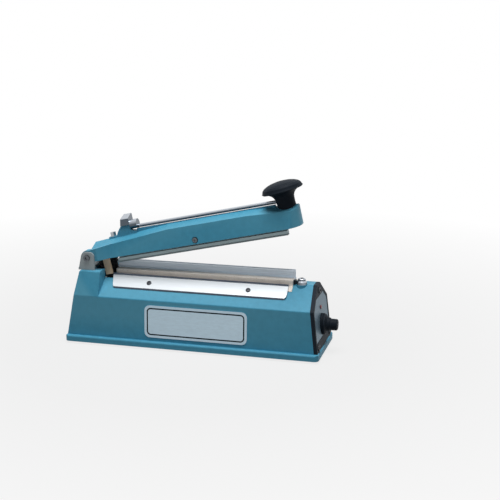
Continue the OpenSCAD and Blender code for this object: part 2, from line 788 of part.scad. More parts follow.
module rear_rail() {
    color(aluminium) difference() {
        along_x(rail_x0, rail_x1) polygon([
            [-rail_front, z_bar], [rail_back, z_bar], [rail_back, z_rail], [-rail_front, z_rail],
            [-rail_front, z_cloth + 0.1 + lip_t], [-rail_front - lip_reach, z_cloth + 0.1 + lip_t],
            [-rail_front - lip_reach, z_cloth + 0.1], [-rail_front, z_cloth + 0.1]]);
        block([rail_x0 - over, knife_y - groove_half, z_rail - groove_depth],
            [rail_x1 + over, knife_y + groove_half, z_rail + over]);
        for (x = bar_screw_places) rod_z(z_bar - over, z_bar + 3, x, 0, bar_screw_r + screw_gap, 24);
    }
}
module clamp_plate() {
    foot = slope_z(clamp_foot_y) + cloth_v;
    back = clamp_lip_y + clamp_t;
    lip_z = slope_z(clamp_lip_y) + clamp_v + clamp_lip_height;
    run = clamp_width + clamp_lip_height + 20;
    color(aluminium) difference() {
        intersection() {
            along_x(clamp_x0 - 3 * clamp_skew, clamp_x1) polygon([
                [clamp_foot_y, foot], [back, slope_z(back) + cloth_v], [back, lip_z],
                [clamp_lip_y, lip_z], [clamp_lip_y, slope_z(clamp_lip_y) + cloth_v + clamp_v],
                [clamp_foot_y, foot + clamp_v]]);
            on_slope(0, clamp_foot_y) translate([0, 0, -run]) linear_extrude(2 * run)
                polygon(rounded([[clamp_x0, 0], [clamp_x1, 0], [clamp_x1, run],
                    [clamp_x0 - clamp_skew * run / clamp_width, run]], [clamp_round, clamp_round, 0, 0]));
        }
        for (x = clamp_places) on_slope(x, clamp_screw_y)
            cylinder(h = 3 * clamp_t, r = clamp_screw_r + screw_gap, $fn = 24);
    }
}
module clamp_plate_screws() {
    color(steel) for (x = clamp_places) on_slope(x, clamp_screw_y)
        translate([0, 0, cloth_t + clamp_t]) screw(clamp_screw_r, base_wall + 3, clamp_screw_r * 1.7, 1.2);
}

// Ends of the heating ribbon
module element_anchor() {
    x0 = seal_x0 + anchor_gap;
    color(brass) block([x0, seal_y - 3, z_ridge], [x0 + anchor_length, seal_y + 3, z_strip]);
}
module terminal_insulator() {
    x0 = seal_x1 + 0.4;
    color(black) block([x0, seal_y - 3.6, z_ridge], [x0 + terminal_block_length, seal_y + 3.6, z_strip]);
}
module terminal_cup_washer() {
    color(chrome) translate([terminal_x, seal_y, z_ridge]) rotate_extrude() polygon([
        [terminal_screw_r + screw_gap, 0], [cup_r, 0], [cup_r - 0.4, cup_height * 0.6],
        [cup_r - 1.6, cup_height], [terminal_screw_r + screw_gap, cup_height]]);
}
module terminal_screw() {
    head_z = z_ridge + cup_height + element_t;
    color(chrome) translate([terminal_x, seal_y, head_z])
        screw(terminal_screw_r, cup_height + element_t + base_wall + 6, cup_r - 1.8, 2.2);
}

// Hinge
module ear_outline() {
    low = -hinge_rise;
    polygon(rounded([[-ear_back, low], [ear_front, low], [ear_front - 0.8, ear_top],
        [-ear_back + 4.5, ear_top]], [0, 0, 5.5, 5.5], 8));
}
module hinge_bracket() {
    color(steel) difference() {
        union() {
            for (s = [-1, 1]) translate([pivot_x, 0, pivot_z])
                along_y(s > 0 ? ear_in : -ear_out, s > 0 ? ear_out : -ear_in) ear_outline();
            block([pivot_x - ear_back, -ear_out, z_tower],
                [pivot_x + plate_front, ear_out, z_tower + bracket_t]);
        }
        rod_y(-2 * ear_out, 2 * ear_out, pivot_x, pivot_z, pin_d / 2 + screw_gap);
        for (p = post_places)
            rod_z(z_tower - over, z_tower + bracket_t + over, p.x, p.y, bracket_screw_r + screw_gap, 24);
    }
}
module hinge_bracket_screws() {
    color(steel) for (p = post_places) translate([p.x, p.y, z_tower + bracket_t])
        screw(bracket_screw_r, bracket_t + 5, bracket_screw_r * 1.9, 1.8);
}
module hinge_pin() {
    head_r = pin_d / 2 + 0.6;
    head = 2;
    hex_r = pin_d * 0.82;
    color(steel) {
        difference() {
            union() {
                rod_y(-ear_out - head / 2, ear_out + 3.2, pivot_x, pivot_z, pin_d / 2);
                rod_y(-ear_out - head, -ear_out, pivot_x, pivot_z, head_r);
            }
            rod_y(-ear_out - head - over, -ear_out - head / 3, pivot_x, pivot_z, head_r * 0.5, 6);
        }
        difference() {
            rod_y(ear_out, ear_out + 3, pivot_x, pivot_z, hex_r, 6);
            rod_y(ear_out - over, ear_out + 4, pivot_x, pivot_z, pin_d / 2 + screw_gap);
        }
    }
}

// Switch shelf, switch, spring and boot
module switch_bracket() {
    color(steel) difference() {
        block([shelf_x0, -shelf_half, shelf_z0], [shelf_x1, shelf_half, shelf_z1]);
        for (p = post_places)
            rod_z(shelf_z0 - over, shelf_z1 + over, p.x, p.y, bracket_screw_r + screw_gap, 24);
        rod_z(shelf_z0 - over, shelf_z1 + over, plunger_x, plunger_y, plunger_r + running_gap);
    }
}
module switch_bracket_screws() {
    color(steel) for (p = post_places) translate([p.x, p.y, shelf_z0]) mirror([0, 0, 1])
        screw(bracket_screw_r, shelf_t + 6, bracket_screw_r * 1.9, 1.8);
}
module microswitch() {
    low = shelf_z0 - switch_size.z;
    half = switch_size / 2;
    seat = shelf_z0 - plunger_seat - plunger_travel - 0.5;
    color(black) difference() {
        block([plunger_x - half.x, plunger_y - half.y, low],
            [plunger_x + half.x, plunger_y + half.y, shelf_z0]);
        rod_z(seat, shelf_z0 + over, plunger_x, plunger_y, plunger_r + running_gap);
        for (s = [-1, 1]) rod_y(plunger_y - half.y - over, plunger_y + half.y + over,
            plunger_x + s * switch_hole_pitch / 2, low + 4, 1.4, 24);
    }
    color(brass) for (s = [-1, 0, 1]) block([plunger_x + s * 7 - 1.6, plunger_y - 0.4, low - 5],
        [plunger_x + s * 7 + 1.6, plunger_y + 0.4, low]);
}
module spring_boot() {
    top = pivot_z + arm_bottom - boot_top_gap + 8;
    folds = 5;
    pitch = (top - shelf_z1) / folds;
    bore = boot_r - boot_wall;
    outline = [for (k = [0 : folds - 1]) each [
        [boot_r - boot_wall / 2, shelf_z1 + k * pitch], [boot_r, shelf_z1 + (k + 0.35) * pitch],
        [boot_r, shelf_z1 + (k + 0.65) * pitch]]];
    color(black) translate([spring_x, 0, 0]) rotate_extrude()
        polygon(concat([[bore, shelf_z1]], outline, [[boot_r - boot_wall / 2, top], [bore, top]]));
}
function curl_point(t) = let (turn = t * spring_turns)
    [spring_x + spring_r * cos(360 * turn), spring_r * sin(360 * turn),
        spring_z0 + (spring_z1 - spring_z0) * t];
function curl_ring(t) = let (p = curl_point(t), a = 360 * t * spring_turns,
        rise = (spring_z1 - spring_z0) / (spring_turns * 2 * PI * spring_r),
        across = [cos(a), sin(a), 0], along = unit([-sin(a), cos(a), rise]), up = cross(along, across))
    [for (k = [0 : tube_sides - 1]) p + spring_wire / 2
        * (across * cos(360 * k / tube_sides) + up * sin(360 * k / tube_sides))];
spring_rings = curl_rings * spring_turns;
spring_pitch = (spring_z1 - spring_z0) / spring_turns;
echo(spring_gap_to_itself = spring_pitch - spring_wire);
module return_spring() {
    points = [for (i = [0 : spring_rings]) each curl_ring(i / spring_rings)];
    sides = [for (i = [0 : spring_rings - 1], k = [0 : tube_sides - 1])
        let (a = i * tube_sides + k, b = i * tube_sides + (k + 1) % tube_sides)
        each [[a, a + tube_sides, b], [b, a + tube_sides, b + tube_sides]]];
    last = spring_rings * tube_sides;
    caps = [for (k = [1 : tube_sides - 2]) each [[0, k, k + 1], [last, last + k + 1, last + k]]];
    color(chrome) polyhedron(points, concat(sides, caps));
}

// Transformer
module transformer_core() {
    half = core_length / 2;
    side = (core_length - 2 * (limb / 2) - limb) / 2;
    z1 = z_floor + core_height;
    color(steel) difference() {
        block([-half, -core_stack / 2, z_floor], [half, core_stack / 2, z1]);
        for (s = [-1, 1]) translate([s * (limb / 2 + side / 2), 0, z_floor + limb / 2])
            block([-side / 2, -core_stack, 0], [side / 2, core_stack, window_height]);
    }
}
module transformer_coil() {
    side = (core_length - 2 * limb) / 2;
    gap = 0.4;
    half = limb / 2 + side - gap;
    reach = core_stack / 2 + coil_overhang;
    z0 = z_floor + limb / 2 + gap;
    color([0.55, 0.30, 0.14]) translate([0, 0, z0]) linear_extrude(window_height - 2 * gap) difference() {
        polygon(rounded(rectangle(-half, -reach, half, reach), 5));
        polygon(rectangle(-limb / 2 - gap, -core_stack / 2 - gap, limb / 2 + gap, core_stack / 2 + gap));
    }
}
module transformer_strap() {
    half = core_length / 2;
    outer = half + strap_t;
    foot = outer + strap_foot;
    z1 = z_floor + core_height;
    color(steel) difference() {
        along_y(-strap_width / 2, strap_width / 2) polygon([
            [-foot, z_floor], [-half, z_floor], [-half, z1], [half, z1], [half, z_floor], [foot, z_floor],
            [foot, z_floor + strap_t], [outer, z_floor + strap_t], [outer, z1 + strap_t],
            [-outer, z1 + strap_t], [-outer, z_floor + strap_t], [-foot, z_floor + strap_t]]);
        for (p = strap_places)
            rod_z(z_floor - over, z_floor + strap_t + over, p.x, p.y, bottom_screw_r + screw_gap, 24);
    }
}
module transformer_screws() {
    color(steel) for (p = strap_places) translate([p.x, p.y, z_floor + strap_t])
        screw(bottom_screw_r, strap_t + bottom_plate_t, bottom_screw_r * 1.9, 2);
}

// Timer electronics
module timer_board() {
    color(board_green) difference() {
        block([board_x0, -board_width / 2, z_board],
            [board_x0 + board_length, board_width / 2, z_board + board_t]);
        for (p = board_places)
            rod_z(z_board - over, z_board + board_t + over, p.x, p.y, bottom_screw_r + screw_gap, 24);
    }
}
module board_standoffs() {
    color(brass) for (p = board_places) {
        rod_z(z_floor, z_board, p.x, p.y, 3, 6);
        rod_z(z_flange, z_board + board_t + 0.8, p.x, p.y, bottom_screw_r, 24);
    }
}
module board_relay() {
    low = [board_x0 + relay_place.x, relay_place.y, z_board + board_t];
    color(black) block(low, low + relay_size);
}
module board_capacitors() {
    z0 = z_board + board_t;
    color(steel) for (c = capacitors) rod_z(z0, z0 + c[3], board_x0 + c[0], c[1], c[2]);
}
module potentiometer() {
    color(steel) difference() {
        union() {
            rod_x(pot_x1 - pot_length, pot_x1, 0, z_knob, pot_r);
            rod_x(pot_x1 - over, boss_x + nut_t + 0.8, 0, z_knob, bushing_r);
        }
        rod_x(pot_x1 - pot_length + 2, x_far + knob_length, 0, z_knob, shaft_r + running_gap);
    }
    color(brass) difference() {
        rod_x(boss_x, boss_x + nut_t, 0, z_knob, nut_r, 6);
        rod_x(boss_x - over, boss_x + nut_t + over, 0, z_knob, bushing_r + screw_gap);
    }
}
module cord_gland() {
    flange_r = gland_r + 2.2;
    thread = base_wall + 4.5;
    bore = cord_hole_d / 2;
    color(black) on_rear_wall(gland_x, gland_z) {
        difference() {
            union() {
                translate([0, 0, -thread]) cylinder(h = thread + over, r = gland_r);
                rotate_extrude() polygon(rounded(rectangle(0, 0, flange_r, 4), [0, 0, 1.5, 0]));
            }
            translate([0, 0, -thread - over]) cylinder(h = thread + 4 + 2 * over, r = bore);
        }
        translate([0, 0, -base_wall - 3.5]) difference() {
            cylinder(h = 3, r = flange_r + 0.8, $fn = 6);
            translate([0, 0, -over]) cylinder(h = 3 + 2 * over, r = gland_r + screw_gap);
        }
    }
}
module mains_terminal_strip() {
    low = [board_x0 + 6, wall_half(z_floor + strip_size.z) - base_wall - strip_gap - strip_size.y, z_floor];
    mid = low + strip_size / 2;
    color(beige) difference() {
        block(low, low + strip_size);
        for (k = [-1 : 1]) rod_z(mid.z, low.z + strip_size.z + over, mid.x + k * strip_pitch, mid.y, 2, 24);
    }
}

// Pressing arm
function arm_section(d) = [[-arm_foot_width / 2, arm_bottom - d], [arm_foot_width / 2, arm_bottom - d],
    [arm_top_width / 2, arm_rise], [-arm_top_width / 2, arm_rise]];
// Gable (Y, Z) whose slopes pass through the arm's upper edges
function gable(edge, crown, low) =
    let (half = base_width / 2, eave = edge - crown * (half / (arm_top_width / 2) - 1))
    rounded([[-half, low], [half, low], [half, eave], [0, edge + crown], [-half, eave]],
        [0, 0, 0, ridge_round, 0]);
// The same gable tilted about the upper edges at one reach
module tilted_gable(reach, angle) {
    translate([reach, 0, arm_rise]) rotate([0, -angle, 0]) along_x(-2 * handle_reach, 2 * handle_reach)
        polygon(gable(0, arm_crown * cos(angle), -3 * (arm_ridge - arm_bottom)));
}
module arm_outer() {
    low = arm_bottom - over;
    high = arm_ridge + over;
    foot = arm_foot_width / 2;
    peak = arm_top_width / 2 - arm_crown * arm_lean;
    cheek = foot + over - nose_round;
    intersection() {
        along_x(arm_start, nose_x + over) polygon([[-foot, arm_bottom], [foot, arm_bottom],
            [peak, arm_ridge], [-peak, arm_ridge]]);
        along_x(0, nose_x + 2 * over) polygon(gable(arm_rise, arm_crown, low));
        tilted_gable(taper_reach, taper_angle);
        tilted_gable(droop_reach, -droop_angle);
        // Plan with a rounded nose
        union() {
            block([0, -foot - over, low], [nose_x - nose_round, foot + over, high]);
            block([0, -cheek, low], [nose_x, cheek, high]);
            for (s = [-1, 1]) rod_z(low, high, nose_x - nose_round, s * cheek, nose_round);
        }
    }
}
// Level rib on the ridge, under the guide rod
module ridge_rib() {
    block([rib_x0, -rib_half, ridge_top(rib_x0) - 1], [rib_x1, rib_half, rib_top]);
}
module arm_lugs() {
    for (s = [-1, 1]) intersection() {
        union() {
            rod_y(-base_width, base_width, 0, 0, lug_r);
            along_y(-base_width, base_width) polygon([[0, arm_bottom], [taper_reach, arm_bottom],
                [taper_reach, arm_rise], [arm_start, heel_rise], [0, heel_rise]]);
        }
        translate([0, 0, -lug_r]) linear_extrude(lug_r + arm_rise) polygon([for (p = [
            [-lug_r - over, lug_in], [arm_start, lug_in], [arm_start, lug_in - 3], [28, lug_in - 3],
            [28, lug_in], [11, lug_out], [-lug_r - over, lug_out]]) [p.x, s * p.y]]);
    }
}
module arm_channel() {
    intersection() {
        along_x(-over, nose_x) polygon(inset(arm_section(2 * arm_wall), arm_wall));
        along_y(-base_width, base_width) polygon([[arm_start - over, arm_bottom - over],
            [nose_x - arm_wall, arm_bottom - over], [nose_x - arm_wall, arm_rise - arm_web],
            [taper_reach, arm_rise - arm_web], [arm_start - over, arm_top(arm_start - over) - arm_web]]);
        translate([0, 0, arm_bottom - 2 * over]) linear_extrude(arm_rise - arm_bottom + 2 * over)
            polygon(rounded(
                inset(rectangle(-over, -arm_foot_width / 2, nose_x, arm_foot_width / 2), arm_wall - over),
                [0, nose_round - arm_wall, nose_round - arm_wall, 0], 8));
    }
}
module arm_casting() {
    push_pad = push_y - push_t;
    color(teal) in_arm() difference() {
        union() {
            difference() {
                union() {
                    arm_outer();
                    arm_lugs();
                    ridge_rib();
                }
                arm_channel();
            }
            intersection() {
                arm_outer();
                union() {
                    for (x = jaw_boss_reach) rod_z(jaw_top, arm_rise, x, jaw_y, jaw_boss_r);
                    block([push_x0 - 1, -arm_foot_width / 2, arm_bottom + 1],
                        [push_x1 + 1, push_pad, push_top]);
                }
            }
        }
        rod_y(-2 * ear_out, 2 * ear_out, 0, 0, pin_d / 2 + running_gap);
        block([slot_x0, knife_y - slot_half, 0], [slot_x1, knife_y + slot_half, arm_ridge + over]);
        rod_y(-base_width, base_width, jaw_bolt_reach, jaw_bolt_z, jaw_bolt_r + screw_gap, 24);
        rod_z(0, arm_ridge + over, handle_reach, 0, 3 + screw_gap, 24);
        rod_z(0, arm_ridge + over, post_bolt_reach, 0, post_bolt_r + screw_gap, 24);
        // Sunk seats of the jaw bolt's head and nut
        for (s = [-1, 1]) translate([jaw_bolt_reach, s * jaw_bolt_seat, jaw_bolt_z]) rotate([-s * 90, 0, 0])
            cylinder(h = base_width, r = jaw_bolt_bore_r);
        for (p = push_screw_places) rod_y(push_y - push_t - 6, 0, p.x, p.y, 1 + screw_gap, 24);
    }
}
module upper_jaw_bar() {
    color(aluminium) in_arm() difference() {
        along_x(jaw_x0, jaw_x1) polygon([[-jaw_front, jaw_bottom], [-jaw_back, jaw_bottom],
            [-jaw_back, jaw_top], [-jaw_stem, jaw_top], [-jaw_stem, jaw_flange_z],
            [-jaw_front, jaw_flange_z]]);
        rod_y(-base_width, base_width, jaw_bolt_reach, jaw_bolt_z, jaw_bolt_r + screw_gap, 24);
    }
}
module silicone_pad() {
    color(steel) in_arm() block([jaw_x0 - 1.5, -jaw_front, pad_bottom], [jaw_x1, -pad_back, jaw_bottom]);
}
module jaw_bolt() {
    head = 2;
    nut = 2.8;
    color(steel) in_arm() translate([jaw_bolt_reach, 0, jaw_bolt_z]) {
        difference() {
            union() {
                rod_y(-jaw_bolt_seat - head / 2, jaw_bolt_seat + nut + 0.8, 0, 0, jaw_bolt_r);
                rod_y(-jaw_bolt_seat - head, -jaw_bolt_seat, 0, 0, jaw_bolt_head_r);
            }
            rod_y(-jaw_bolt_seat - 2 * head, -jaw_bolt_seat - 0.8, 0, 0, 1.5, 6);
        }
        difference() {
            rod_y(jaw_bolt_seat, jaw_bolt_seat + nut, 0, 0, jaw_bolt_bore_r - 0.4, 6);
            rod_y(jaw_bolt_seat - over, jaw_bolt_seat + nut + over, 0, 0, jaw_bolt_r + screw_gap);
        }
    }
}
module handle_knob() {
    cap_r = handle_cap_d / 2;
    rim = handle_height * 0.67;
    rim_t = 1.6;
    neck = handle_height * 0.3;
    flare_r = cap_r - 1 - stem_r;
    stem_drop = arm_crown + 1;
    // Stem, flare under the cap, rim and dome
    profile = concat([[0, -stem_drop], [stem_r, -stem_drop], [stem_r - 0.3, neck / 2], [stem_r, neck]],
        [for (k = [1 : 6]) let (a = 15 * k)
            [stem_r + flare_r * (1 - cos(a)), neck + (rim - 1 - neck) * sin(a)]],
        [[cap_r, rim], [cap_r - 0.8, rim + rim_t]],
        [for (k = [1 : 6]) let (a = 15 * k)
            [(cap_r - 0.8) * cos(a), rim + rim_t + (handle_height - rim - rim_t) * sin(a)]]);
    color(black) in_arm() difference() {
        translate([handle_reach, 0, arm_rise]) rotate([0, -handle_lean, 0]) rotate_extrude() polygon(profile);
        // The stem's foot follows the arm's roof
        arm_outer();
        rod_z(arm_rise - over, arm_rise + 14, handle_reach, 0, 3 + screw_gap, 24);
        rod_x(handle_reach - 2 * stem_r, rod_x1 + 0.3, 0, rod_z, rod_r + screw_gap);
    }
}
module handle_stud() {
    color(steel) in_arm() translate([handle_reach, 0, arm_rise - arm_web]) mirror([0, 0, 1])
        screw(3, arm_web + 12, 5, 3.5);
}
module guide_rod() {
    color(chrome) in_arm() rod_x(rod_x0, rod_x1, 0, rod_z, rod_r);
}
// Pedestal on the arm's ridge that holds the rod's hinge end
module rod_post() {
    p = park_reach;
    toe_z = ridge_top(rod_post_x1) + 1;
    color(teal) in_arm() difference() {
        along_y(-rod_post_front, rod_post_back) polygon([[rod_post_x0, 0], [rod_post_x1, 0],
            [rod_post_x1, toe_z], [p + 2.8, min(toe_z + 1.8, arm_ridge)], [p + 2.8, post_top],
            [p - 8.5, post_top], [p - 10.5, post_top - 2.2], [p - 13.4, post_top - 5.8],
            [p - 15, post_foot_z + 1.2], [post_foot_x1, post_foot_z], [rod_post_x0, post_foot_z]]);
        arm_outer();
        rod_x(rod_x0 - 0.3, p + 20, 0, rod_z, rod_r + screw_gap / 2);
        rod_z(0, post_foot_z + over, post_bolt_reach, 0, post_bolt_r + screw_gap, 24);
    }
}
module rod_post_bolt() {
    color(steel) in_arm() {
        rod_z(post_foot_z, post_foot_z + 4.8, post_bolt_reach, 0, 3.4, 6);
        rod_z(arm_top(post_bolt_reach) - arm_web - 1.5, post_foot_z + over,
            post_bolt_reach, 0, post_bolt_r, 24);
    }
}
module push_plate() {
    color(tan_board) in_arm() difference() {
        block([push_x0, push_y - push_t, push_bottom], [push_x1, push_y, push_top]);
        for (p = push_screw_places) rod_y(push_y - push_t - over, push_y + over, p.x, p.y, 1 + screw_gap, 24);
    }
}
module push_plate_screws() {
    color(steel) in_arm() for (p = push_screw_places) translate([p.x, push_y, p.y]) rotate([-90, 0, 0])
        screw(1, push_t + 2, 1.9, 0.8);
}

// Sliding cutter
module cutter_carriage() {
    z = carriage_z;
    color(chrome) in_arm() difference() {
        // Thumb block with a slanted top and a leaning hinge end
        intersection() {
            along_x(carriage_x0 - over, carriage_x1) polygon([[-5, z], [carriage_back, z],
                [carriage_back, z + 10.8], [carriage_back - 2, z + 11.6], [-4.2, z + 8.2], [-5, z + 7.4]]);
            along_y(-base_width, base_width) polygon([[carriage_x0, z - over], [carriage_x1 + over, z - over],
                [carriage_x1 + over, z + 13], [carriage_x0 + 3.2, z + 13]]);
        }
        block([blade_x0 - 0.1, knife_y - blade_t / 2 - 0.05, z - over],
            [blade_x1 + 0.1, knife_y + blade_t / 2 + 0.05, blade_top + 0.1]);
        rod_y(0, carriage_back + over, blade_screw_x, blade_screw_z, 1 + screw_gap, 24);
    }
}
blade_top = carriage_z + 5;
blade_screw_x = (blade_x0 + blade_x1) / 2;
blade_screw_z = carriage_z + 2.6;
module carriage_bush() {
    color(chrome) in_arm() difference() {
        rod_x(carriage_x1, carriage_x1 + bush_length, 0, bush_z, bush_r);
        rod_x(carriage_x1 - over, carriage_x1 + bush_length + over, 0, rod_z, rod_r + running_gap);
    }
}
module cutter_blade() {
    color(steel) in_arm() difference() {
        along_y(knife_y - blade_t / 2, knife_y + blade_t / 2) polygon([
            [blade_x0, blade_tip + 4], [blade_x0 + 3, blade_tip], [blade_x1, blade_tip + 1],
            [blade_x1, blade_top], [blade_x0, blade_top]]);
        rod_y(0, carriage_back, blade_screw_x, blade_screw_z, 1 + screw_gap, 24);
    }
}
module blade_screws() {
    color(steel) in_arm() translate([blade_screw_x, carriage_back, blade_screw_z]) rotate([-90, 0, 0])
        screw(1, carriage_back - knife_y + 2, 1.9, 0.9);
}

// Timer knob and shaft
module timer_knob() {
    skirt_r = knob_skirt_d / 2;
    grip_r = knob_grip_d / 2;
    collar_r = grip_r + 1.4;
    color(black) difference() {
        translate([knob_x0, 0, z_knob]) rotate([0, 90, 0]) rotate_extrude() polygon([
            [0, 0], [skirt_r, 0], [skirt_r, 1.6], [collar_r + 0.5, skirt_t], [collar_r, skirt_t + 0.5],
            [collar_r - 0.3, collar_t - 0.6], [grip_r + 0.2, collar_t], [grip_r, knob_length - 1],
            [grip_r - 1, knob_length], [0, knob_length]]);
        rod_x(knob_x0 - over, knob_x0 + nut_t + 0.9, 0, z_knob, nut_r + 0.5);
        rod_x(knob_x0 - over, knob_x0 + shaft_in_knob + 0.3, 0, z_knob, shaft_r + screw_gap / 2);
        // Pointer groove across the collar
        block([knob_x0 + skirt_t, -0.6, z_knob + grip_r + 0.8],
            [knob_x0 + collar_t + over, 0.6, z_knob + collar_r + over]);
    }
}
module pot_shaft() {
    color(chrome) rod_x(pot_x1 - pot_length + 2.3, knob_x0 + shaft_in_knob, 0, z_knob, shaft_r);
}
module switch_plunger() {
    color([0.75, 0.15, 0.12]) rod_z(shelf_z0 - plunger_seat, z_plunger, plunger_x, plunger_y, plunger_r);
}

base_housing();
bottom_plate();
bottom_plate_screws();
rubber_feet();
end_panel();
end_label();
end_panel_screws();
lamp_holder();
indicator_lens();
nameplate();
lower_jaw_bar();
jaw_bar_screws();
insulating_strip();
heating_element();
ptfe_cover();
rear_rail();
clamp_plate();
clamp_plate_screws();
element_anchor();
terminal_insulator();
terminal_cup_washer();
terminal_screw();
hinge_bracket();
hinge_bracket_screws();
hinge_pin();
switch_bracket();
switch_bracket_screws();
microswitch();
spring_boot();
return_spring();
transformer_core();
transformer_coil();
transformer_strap();
transformer_screws();
timer_board();
board_standoffs();
board_relay();
board_capacitors();
potentiometer();
cord_gland();
mains_terminal_strip();
arm_casting();
upper_jaw_bar();
silicone_pad();
jaw_bolt();
handle_knob();
handle_stud();
guide_rod();
rod_post();
rod_post_bolt();
push_plate();
push_plate_screws();
cutter_carriage();
carriage_bush();
cutter_blade();
blade_screws();
timer_knob();
pot_shaft();
switch_plunger();
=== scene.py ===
"""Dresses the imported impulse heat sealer: materials, soft pieces, floor, light and camera."""
import json
import math

import bpy
from mathutils import Matrix, Vector


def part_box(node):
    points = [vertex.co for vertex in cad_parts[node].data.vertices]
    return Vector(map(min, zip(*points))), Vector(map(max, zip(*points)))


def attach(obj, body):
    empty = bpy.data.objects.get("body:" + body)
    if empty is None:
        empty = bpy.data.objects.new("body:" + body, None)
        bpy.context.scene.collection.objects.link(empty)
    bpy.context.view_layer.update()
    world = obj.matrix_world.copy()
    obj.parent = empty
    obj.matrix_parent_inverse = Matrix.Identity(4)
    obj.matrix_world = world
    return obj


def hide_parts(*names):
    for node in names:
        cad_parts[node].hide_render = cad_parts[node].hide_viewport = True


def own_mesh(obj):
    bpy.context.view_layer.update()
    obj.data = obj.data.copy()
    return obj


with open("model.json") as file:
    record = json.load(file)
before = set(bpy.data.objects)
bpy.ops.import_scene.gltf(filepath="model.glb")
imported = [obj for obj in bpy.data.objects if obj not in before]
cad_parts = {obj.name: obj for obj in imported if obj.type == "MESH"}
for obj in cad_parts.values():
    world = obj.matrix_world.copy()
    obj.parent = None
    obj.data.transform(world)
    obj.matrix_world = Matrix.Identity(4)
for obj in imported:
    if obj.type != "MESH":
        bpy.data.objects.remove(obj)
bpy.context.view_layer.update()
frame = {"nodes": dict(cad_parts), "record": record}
nodes = frame["nodes"]
scene = bpy.context.scene

# Sizes that the dressing shares with the CAD, in metres
MM = 0.001
PIVOT = Vector((-0.1237, 0.0, 0.0965))
OPEN_ANGLE = math.radians(12.3)
SEAL_X0 = -0.095
SEAL_X1 = 0.111
RIDGE_HALF = 8 * MM
RIDGE_Z = 77.5 * MM
SLOPE_ANGLE = math.radians(35.8)
WALL_LEAN = math.atan(2 / 46)

# Camera at the photograph's viewing point
CAMERA_AZIMUTH = math.radians(14.836)
CAMERA_ELEVATION = math.radians(13.396)
CAMERA_PLACE = Vector((0.34546, -1.07955, 0.37654))
LENS_MM = 74.74
SENSOR_MM = 36.0

# Light and floor
KEY_PLACE = (0.07, -0.2, 1.5)
KEY_TARGET = (0, 0, 0.08)
KEY_SIZE = 1.0
KEY_POWER = 23
SKY_COLOUR = (0.96, 0.98, 1, 1)
SKY_STRENGTH = 0.12
FLOOR_HALF = 30
FLOOR_PAPER = (0.33, 0.33, 0.33, 1)
SHADOW_NEAR = 0.2
SHADOW_FAR = 0.8
WHITE_NEAR = 0.8

# Edges of CAD nodes that are eased, by this many millimetres
EASED = {
    "arm_casting": 0.5, "base_housing": 0.4, "end_panel": 0.3, "hinge_bracket": 0.3,
    "clamp_plate": 0.5, "rear_rail": 0.25, "lower_jaw_bar": 0.25, "upper_jaw_bar": 0.3,
    "push_plate": 0.15, "terminal_insulator": 0.25, "cutter_carriage": 0.5,
    "carriage_bush": 0.4, "rod_post": 0.4, "rod_post_bolt": 0.3,
}
EASE_ANGLE = math.radians(50)

BLACK = (0, 0, 0, 1)
WHITE = (1, 1, 1, 1)

# Directions whose faces keep their full colour; faces turned away from them get painted shade
SLOPE_FACE = (0.0, -math.sin(SLOPE_ANGLE), math.cos(SLOPE_ANGLE))
CHROME_FACE = (0.25, -0.31, 0.92)
FRONT_FACE = (0.0, -1.0, 0.0)

# Width of one band of the wave texture at scale 1
WAVE_BAND = 0.31


def slope_z(y):
    """Height of the front slope's surface."""
    return RIDGE_Z - (abs(y) - RIDGE_HALF) * math.tan(SLOPE_ANGLE)


def add_camera():
    data = bpy.data.cameras.new("camera")
    data.lens = LENS_MM
    data.sensor_width = SENSOR_MM
    data.clip_start = 0.01
    data.clip_end = 50
    camera = bpy.data.objects.new("camera", data)
    scene.collection.objects.link(camera)
    camera.location = CAMERA_PLACE
    camera.rotation_euler = (math.pi / 2 - CAMERA_ELEVATION, 0, CAMERA_AZIMUTH)
    scene.camera = camera


# Materials
def srgb(red, green, blue):
    """Screen values from 0 to 255 as a linear colour."""
    def linear(value):
        value /= 255
        return value / 12.92 if value <= 0.04045 else ((value + 0.055) / 1.055) ** 2.4
    return (linear(red), linear(green), linear(blue), 1.0)


def shade(colour, factor):
    """A lighter or darker version of a colour."""
    return tuple(min(1.0, c * factor) for c in colour[:3]) + (1.0,)


